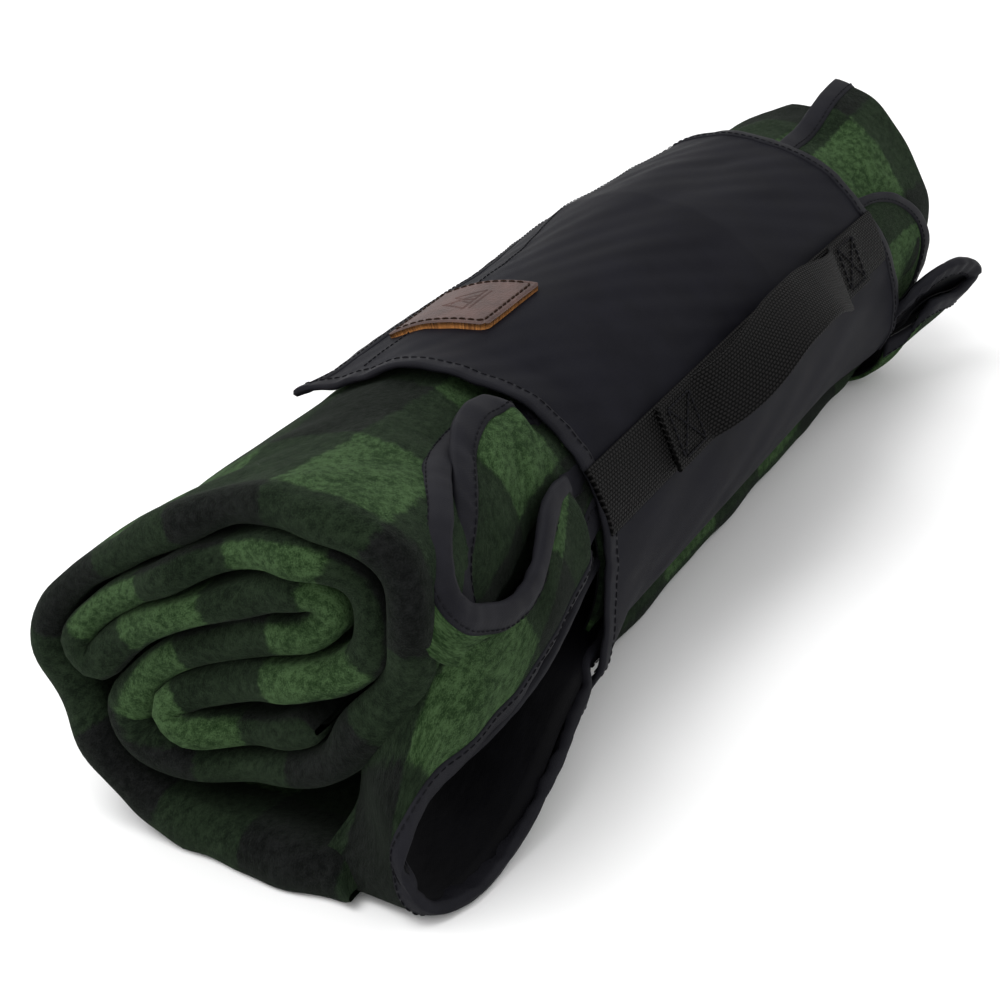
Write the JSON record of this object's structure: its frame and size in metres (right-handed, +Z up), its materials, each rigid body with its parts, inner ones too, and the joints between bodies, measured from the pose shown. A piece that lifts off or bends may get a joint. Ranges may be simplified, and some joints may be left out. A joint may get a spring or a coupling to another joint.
{
  "type": "camp blanket",
  "caption": "Rolled plaid fleece camp blanket with a waterproof backing, held by a wrap-round cover flap with a webbing carry handle and a leather patch.",
  "frame": {"origin": "on the ground under the middle of the rolled blanket", "axes": "+X along the roll towards its far end, -Y towards the carry handle, +Z up"},
  "size_m": [0.502, 0.1796, 0.1323],
  "materials": {
    "fleece": "brushed plaid polar fleece, green and black checks",
    "padding": "thin polyester wadding",
    "backing": "coated waterproof polyester",
    "binding": "folded woven polyester tape",
    "cover_cloth": "smooth tightly woven polyester, blue-black",
    "lining": "plain woven lining",
    "webbing": "coarse woven polypropylene webbing",
    "thread": "black bonded sewing thread",
    "hook": "nylon hook tape",
    "leather": "waxed brown leather with a raw tan edge",
    "leather_thread": "dark brown waxed thread"
  },
  "bodies": {
    "blanket": {"fleece_face": "fleece", "padding": "padding", "waterproof_backing": "backing", "strip_end_fleece": "fleece", "strip_end_backing": "backing", "strip_end_binding": "binding", "near_fold": "fleece", "near_fold_binding": "binding", "inner_edge_binding": "binding", "far_fold": "fleece", "far_fold_binding": "binding", "seam_tape": "binding", "far_edge_binding": "binding"},
    "cover": {"cover_panel": "cover_cloth", "cover_lining": "lining", "hook_tape": "hook", "near_rim_binding": "binding", "far_rim_binding": "binding", "free_edge_binding": "binding", "base_webbing": "webbing", "leather_patch": "leather", "patch_stitching": "leather_thread", "handle_near_end": "webbing", "handle_far_end": "webbing", "near_box_stitch": "thread", "far_box_stitch": "thread"},
    "handle": {"handle_loop": "webbing"}
  },
  "joints": [
    {"name": "cover_open", "type": "hinge", "parent": "blanket", "child": "cover", "pos_m": [0.022, -0.0492, 0.02353], "axis": [1, 0, 0], "range_deg": [0, 95]},
    {"name": "handle_swing", "type": "hinge", "parent": "cover", "child": "handle", "pos_m": [0.036, -0.05531, 0.08845], "axis": [1, 0, 0], "range_deg": [-10, 70]}
  ]
}
